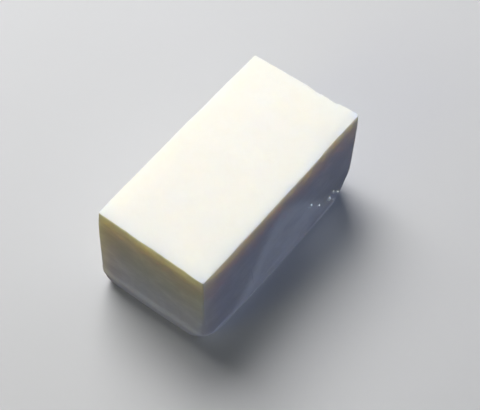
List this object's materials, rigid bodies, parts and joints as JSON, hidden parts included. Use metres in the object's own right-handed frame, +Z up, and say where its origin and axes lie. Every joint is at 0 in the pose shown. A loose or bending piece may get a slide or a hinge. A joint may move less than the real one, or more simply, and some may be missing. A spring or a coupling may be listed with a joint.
{
  "type": "silken tofu block",
  "caption": "Soft oblong block of silken tofu with crisp top edges, slightly slumped sides, rounded lower corners and a chipped end edge.",
  "frame": {"origin": "middle of the block's outer box at the level of its flat underside, where it rests", "axes": "+X along the block towards the end whose top edge has lost a flake, +Y across the block, +Z up"},
  "size_m": [0.113, 0.0606, 0.0535],
  "materials": {
    "tofu": null
  },
  "bodies": {
    "root": {"tofu_block": "tofu"}
  },
  "joints": []
}
